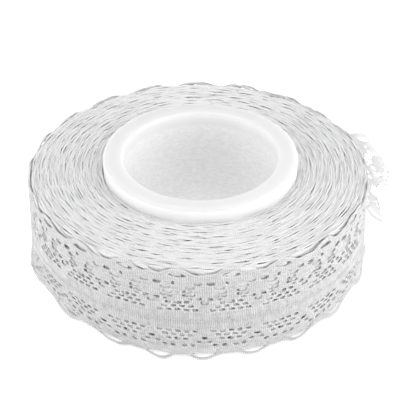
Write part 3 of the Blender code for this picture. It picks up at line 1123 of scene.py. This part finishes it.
# The lace's paints: name, darkest and lightest tone, share of light that comes through, how much painted
# shade lies between its ribs, whether the pattern follows the strip. They are copies of one white lace
# whose tones are set for how bright each part renders, painted light and shade; the loose end and its
# threads are much lighter, painted light.
LACE_PAINTS = (
    ("white_lace", 0.86, 0.95, 0.42, 0.36, True),
    ("lace_behind", 0.84, 0.93, 0.45, 0.1, True),
    ("wound_lace", 0.84, 0.92, 0.2, 0.12, True),
    ("end_lace_painted_light", 0.96, 0.99, 0.5, 0.08, True),
    ("loose_thread_painted_light", 0.97, 0.99, 0.5, 0.1, False),
)
PAINTED_RIB_SHADE = 0.45  # darkest painted shade between ribs, as a share of the paint's own tone
BAND_SCALE = 0.1 * math.pi  # of the band texture, for bands of length 1

# Noise in millimetres: scale, detail
CLOUD = (0.3, 4.0)
GRAIN = (1.1, 3.0)
FLUFF = (4.0, 2.0)
CLOUD_RANGE = (0.75, 1.25)  # of cloud and grain together


def lace_paint(name, dark, light, through, shade, on_strip):
    """White knitted thread: a line for each rib with painted shade between the ribs, clouded tone, fluff,
    and light that comes through it.
    """
    paint = Paint(name)
    if on_strip:
        place = paint.node("ShaderNodeAttribute", {"attribute_name": "strip"}).outputs["Vector"]
    else:
        scaled = paint.node("ShaderNodeVectorMath", {"operation": "SCALE"}, Scale=1.0 / MM)
        paint.set(scaled.inputs[0], paint.node("ShaderNodeTexCoord").outputs["Object"])
        place = scaled.outputs[0]
    bands = paint.node("ShaderNodeTexWave", {"wave_type": "BANDS", "bands_direction": "X"}, Vector=place)
    paint.set(bands.inputs["Scale"], BAND_SCALE * POINTS / REPEAT)
    paint.set(bands.inputs["Distortion"], 0.8)
    paint.set(bands.inputs["Detail Scale"], 0.6)
    ribs = bands.outputs[1]
    cloudy = paint.sum("ADD", paint.noise(place, *CLOUD), paint.noise(place, *GRAIN))
    low, high = CLOUD_RANGE
    clouded = paint.node("ShaderNodeMapRange", Value=cloudy, From_Min=low, From_Max=high)
    tone = paint.mix(clouded.outputs[0], grey(dark), grey(light))
    # painted shade: the colour darkens between the ribs, where shade falls in the grooves
    between = paint.sum("MULTIPLY_ADD", ribs, -shade, shade)
    shaded = paint.mix(between, tone, grey(PAINTED_RIB_SHADE * dark))
    paint.surface(Base_Color=shaded, Roughness=0.85, Specular_IOR_Level=0.25)
    paint.surface(Sheen_Weight=0.6, Sheen_Roughness=0.5)
    relief = paint.sum("ADD", ribs, paint.noise(place, *FLUFF))
    bump = paint.node("ShaderNodeBump", Height=relief, Strength=0.5, Distance=0.0002)
    paint.surface(Normal=bump.outputs[0])
    backlit = paint.node("ShaderNodeBsdfTranslucent", Color=shaded)
    mixed = paint.node("ShaderNodeMixShader", Fac=through)
    paint.links.new(paint.shader.outputs[0], mixed.inputs[1])
    paint.links.new(backlit.outputs[0], mixed.inputs[2])
    paint.links.new(mixed.outputs[0], paint.nodes["Material Output"].inputs["Surface"])
    return paint.material


# Tones of the milky plastic, each face set for how bright it renders, and its noise in metres: scale,
# detail
RING_CLEAR = (0.62, 0.64)
# the next tones are painted shade of the lace seen through the milky wall, low in the bore
LACE_SHADE_TONES = (0.63, 0.88)
BORE_TOP_TONE = 0.70
WALL_TONES = (0.75, 0.94)  # of the outer wall, at its top and below; lower down it is painted lighter, painted light for light carried through the milky plastic
FADE = (0.0505, 0.0475)  # heights in metres between which bore and wall change, from the top down
RING_CLOUD = (90.0, 3.0)
LACE_SHADE_NOISE = (420.0, 2.0)
LACE_SHADE_STRETCH = (1.0, 1.0, 2.2)


def ring_paint():
    """Milky plastic: painted shade of the lace behind the wall low in the bore, and pale outside, where
    the outer wall is painted lighter lower down.
    """
    paint = Paint("milky_plastic")
    place = paint.node("ShaderNodeTexCoord").outputs["Object"]
    cloud = paint.noise(place, *RING_CLOUD)
    # painted shade: the lace standing behind the milky wall, seen through it low in the bore
    lace_shade_noise = paint.noise(paint.vector("MULTIPLY", place, LACE_SHADE_STRETCH), *LACE_SHADE_NOISE)
    clear = paint.mix(cloud, grey(RING_CLEAR[0]), grey(RING_CLEAR[1]))
    lace_shade = paint.mix(lace_shade_noise, grey(LACE_SHADE_TONES[0]), grey(LACE_SHADE_TONES[1]))
    moved = paint.vector("SUBTRACT", place, tuple(AXIS * MM))
    split = paint.node("ShaderNodeSeparateXYZ", Vector=moved)
    flat = paint.node("ShaderNodeCombineXYZ", X=split.outputs["X"], Y=split.outputs["Y"])
    radius = paint.vector("LENGTH", flat.outputs[0], output="Value")
    in_bore = paint.sum("LESS_THAN", radius, (BORE_RADIUS + 0.05) * MM)
    outside = paint.sum("GREATER_THAN", radius, (CORE_RADIUS - 0.1) * MM)
    low = paint.node("ShaderNodeMapRange", {"interpolation_type": "SMOOTHSTEP"}, Value=split.outputs["Z"])
    paint.set(low.inputs["From Min"], FADE[0])
    paint.set(low.inputs["From Max"], FADE[1])
    # painted light: the outer wall is lighter below its top
    wall = paint.mix(low.outputs[0], grey(WALL_TONES[0]), grey(WALL_TONES[1]))
    inner = paint.mix(in_bore, clear, grey(BORE_TOP_TONE))
    both = paint.mix(outside, inner, wall)
    lace_shade_mask = paint.sum("MULTIPLY", in_bore, low.outputs[0])
    paint.surface(Base_Color=paint.mix(lace_shade_mask, both, lace_shade), Roughness=0.4)
    paint.surface(Subsurface_Weight=0.85, Subsurface_Radius=(1.0, 1.0, 1.0), Subsurface_Scale=0.012)
    bump = paint.node("ShaderNodeBump", Height=cloud, Strength=0.08, Distance=0.0002)
    paint.surface(Normal=bump.outputs[0])
    return paint.material


FLOOR_HALF_SIZE = 3.0
FLOOR_GLOW = 0.45
SKY = 0.84

# Soft lights aimed at the roll's foot: name, place, width, power
LIGHTS = (
    ("overhead", (0.25, 0.0, 1.3), 1.6, 5.0),
    ("side", (1.1, -0.4, 0.5), 0.9, 8.5),
    ("fill", (-1.1, -0.3, 0.5), 0.9, 6.0),
)


def make_floor():
    build = bmesh.new()
    bmesh.ops.create_grid(build, x_segments=2, y_segments=2, size=FLOOR_HALF_SIZE)
    floor = new_object("floor", mesh_from(build, "floor"))
    paint = Paint("pale_floor")
    paint.surface(Base_Color=grey(0.93), Roughness=0.9)
    paint.surface(Emission_Color=grey(1.0), Emission_Strength=FLOOR_GLOW)
    floor.data.materials.append(paint.material)


def area_light(name, place, size, energy):
    data = bpy.data.lights.new(name, "AREA")
    data.size = size
    data.energy = energy
    light = new_object(name, data)
    light.location = place
    light.rotation_euler = (Vector() - Vector(place)).to_track_quat("-Z", "Y").to_euler()


def make_light():
    world = bpy.data.worlds.new("studio")
    bpy.context.scene.world = world
    world.use_nodes = True
    background = world.node_tree.nodes["Background"]
    background.inputs["Color"].default_value = grey(1.0)
    background.inputs["Strength"].default_value = SKY
    for row in LIGHTS:
        area_light(*row)


# The photo's camera: its distance in metres from the middle of the ring's top, its elevation in degrees,
# its focal length and the photo's size in pixels, and the pixel where that middle lies
CAMERA_DISTANCE = 0.886
CAMERA_ELEVATION = 33.75
PHOTO_FOCAL = 1800.0
PHOTO_SIZE = 400.0
RING_TOP_PIXEL = (200.6, 154.9)
SENSOR = 36.0


def make_camera():
    data = bpy.data.cameras.new("camera")
    data.sensor_width = SENSOR
    data.lens = SENSOR * PHOTO_FOCAL / PHOTO_SIZE
    data.clip_end = 10.0
    camera = new_object("camera", data)
    rise = math.radians(CAMERA_ELEVATION)
    target = (AXIS + Vector((0.0, 0.0, CORE_HEIGHT))) * MM
    camera.location = target + CAMERA_DISTANCE * Vector((0.0, -math.cos(rise), math.sin(rise)))
    below = math.atan((PHOTO_SIZE / 2.0 - RING_TOP_PIXEL[1]) / PHOTO_FOCAL)
    aside = math.atan((RING_TOP_PIXEL[0] - PHOTO_SIZE / 2.0) / PHOTO_FOCAL)
    camera.rotation_euler = (math.pi / 2.0 - rise - below, 0.0, aside)
    bpy.context.scene.camera = camera


def ride_on_root(obj):
    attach(obj, "root")


def main():
    make_camera()
    make_light()
    make_floor()
    paints = {row[0]: lace_paint(*row) for row in LACE_PAINTS}
    outer, length = outer_lace(paints["white_lace"], paints["lace_behind"])
    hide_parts("lace_roll")
    wound = wound_turns(paints["wound_lace"])
    end, end_length = loose_end(paints["end_lace_painted_light"], length)
    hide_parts("loose_end")
    fray = frayed_threads(paints["loose_thread_painted_light"], end_length)
    for piece in outer + wound + [end, fray]:
        ride_on_root(piece)
    ring = milky_ring(ring_paint())
    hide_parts("core")
    ride_on_root(ring)
    bpy.context.scene.view_settings.view_transform = "Standard"


main()
